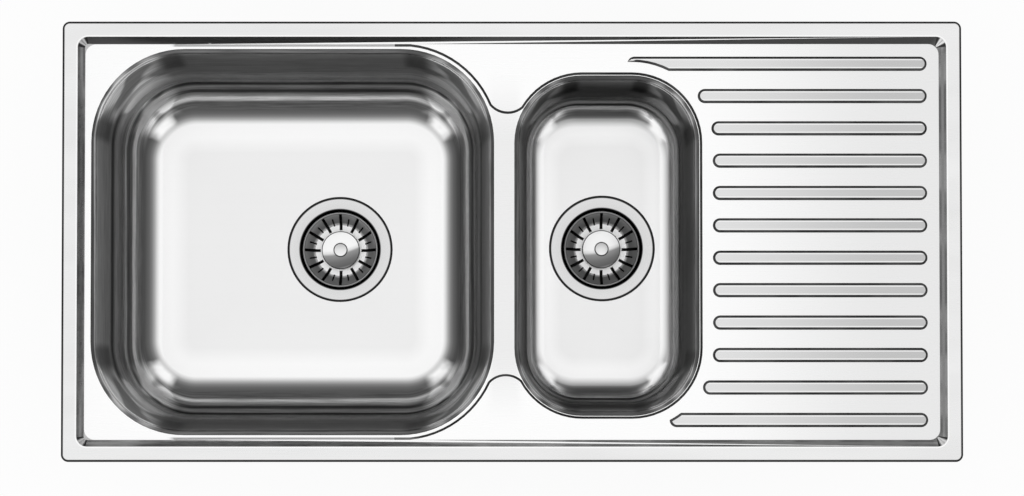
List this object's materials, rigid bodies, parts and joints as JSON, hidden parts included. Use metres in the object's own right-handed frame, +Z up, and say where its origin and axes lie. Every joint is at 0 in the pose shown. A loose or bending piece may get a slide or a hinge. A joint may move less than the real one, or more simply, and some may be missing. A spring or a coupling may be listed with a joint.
{
  "type": "one and a half bowl sink",
  "caption": "Inset steel kitchen sink with a large bowl, a half bowl, a ribbed drainer, lift-out strainer plugs and claw fixings for the worktop.",
  "frame": {"origin": "centre of the rim in plan, on the worktop's top face", "axes": "+X from the large bowl to the drainer, +Y from the front edge to the back, +Z up"},
  "size_m": [0.98, 0.48, 0.2465],
  "materials": {
    "satin_steel": "fine satin",
    "polished_steel": "polished",
    "basket_steel": "satin",
    "knob_steel": "fine circular brush",
    "foam_seal": "closed-cell foam",
    "zinc_steel": "zinc plated",
    "screw_steel": "turned",
    "black_rubber": "matt",
    "white_plastic": "moulded",
    "damping_pad": "matt sheet"
  },
  "bodies": {
    "sink": {"deck": "satin_steel", "main_bowl": "satin_steel", "half_bowl": "satin_steel", "rim_seal": "foam_seal", "fixing_rails": "zinc_steel", "main_sound_pad": "damping_pad", "half_sound_pad": "damping_pad", "main_waste_flange": "polished_steel", "half_waste_flange": "polished_steel", "main_flange_gasket": "black_rubber", "half_flange_gasket": "black_rubber", "main_body_gasket": "black_rubber", "half_body_gasket": "black_rubber", "main_waste_body": "white_plastic", "half_waste_body": "white_plastic", "main_clamp_screw": "screw_steel", "half_clamp_screw": "screw_steel", "clip_hooks": "zinc_steel"},
    "main_plug": {"main_basket": "basket_steel", "main_stopper": "black_rubber", "main_knob": "knob_steel", "main_knob_pin": "knob_steel"},
    "half_plug": {"half_basket": "basket_steel", "half_stopper": "black_rubber", "half_knob": "knob_steel", "half_knob_pin": "knob_steel"},
    "clip_1": {"claw_1": "zinc_steel"},
    "screw_1": {"claw_screw_1": "screw_steel"},
    "clip_2": {"claw_2": "zinc_steel"},
    "screw_2": {"claw_screw_2": "screw_steel"},
    "clip_3": {"claw_3": "zinc_steel"},
    "screw_3": {"claw_screw_3": "screw_steel"},
    "clip_4": {"claw_4": "zinc_steel"},
    "screw_4": {"claw_screw_4": "screw_steel"},
    "clip_5": {"claw_5": "zinc_steel"},
    "screw_5": {"claw_screw_5": "screw_steel"},
    "clip_6": {"claw_6": "zinc_steel"},
    "screw_6": {"claw_screw_6": "screw_steel"}
  },
  "joints": [
    {"name": "main_plug_lift", "type": "slide", "parent": "sink", "child": "main_plug", "axis": [0, 0, 1], "range_m": [0, 0.22]},
    {"name": "half_plug_lift", "type": "slide", "parent": "sink", "child": "half_plug", "axis": [0, 0, 1], "range_m": [0, 0.2]},
    {"name": "claw_1_release", "type": "slide", "parent": "sink", "child": "clip_1", "axis": [0, 0, -1], "range_m": [0, 0.01]},
    {"name": "screw_1_turn", "type": "hinge", "parent": "clip_1", "child": "screw_1", "pos_m": [-0.33, -0.219, -0.03], "axis": [0, 0, -1], "range_deg": [0, 4501]},
    {"name": "claw_2_release", "type": "slide", "parent": "sink", "child": "clip_2", "axis": [0, 0, -1], "range_m": [0, 0.01]},
    {"name": "screw_2_turn", "type": "hinge", "parent": "clip_2", "child": "screw_2", "pos_m": [0, -0.219, -0.03], "axis": [0, 0, -1], "range_deg": [0, 4501]},
    {"name": "claw_3_release", "type": "slide", "parent": "sink", "child": "clip_3", "axis": [0, 0, -1], "range_m": [0, 0.01]},
    {"name": "screw_3_turn", "type": "hinge", "parent": "clip_3", "child": "screw_3", "pos_m": [0.33, -0.219, -0.03], "axis": [0, 0, -1], "range_deg": [0, 4501]},
    {"name": "claw_4_release", "type": "slide", "parent": "sink", "child": "clip_4", "axis": [0, 0, -1], "range_m": [0, 0.01]},
    {"name": "screw_4_turn", "type": "hinge", "parent": "clip_4", "child": "screw_4", "pos_m": [-0.33, 0.219, -0.03], "axis": [0, 0, -1], "range_deg": [0, 4501]},
    {"name": "claw_5_release", "type": "slide", "parent": "sink", "child": "clip_5", "axis": [0, 0, -1], "range_m": [0, 0.01]},
    {"name": "screw_5_turn", "type": "hinge", "parent": "clip_5", "child": "screw_5", "pos_m": [0, 0.219, -0.03], "axis": [0, 0, -1], "range_deg": [0, 4501]},
    {"name": "claw_6_release", "type": "slide", "parent": "sink", "child": "clip_6", "axis": [0, 0, -1], "range_m": [0, 0.01]},
    {"name": "screw_6_turn", "type": "hinge", "parent": "clip_6", "child": "screw_6", "pos_m": [0.33, 0.219, -0.03], "axis": [0, 0, -1], "range_deg": [0, 4501]}
  ],
  "couplings": [
    {"joint": "screw_1_turn", "follows": "claw_1_release", "rad_per_m": 7854},
    {"joint": "screw_2_turn", "follows": "claw_2_release", "rad_per_m": 7854},
    {"joint": "screw_3_turn", "follows": "claw_3_release", "rad_per_m": 7854},
    {"joint": "screw_4_turn", "follows": "claw_4_release", "rad_per_m": 7854},
    {"joint": "screw_5_turn", "follows": "claw_5_release", "rad_per_m": 7854},
    {"joint": "screw_6_turn", "follows": "claw_6_release", "rad_per_m": 7854}
  ]
}
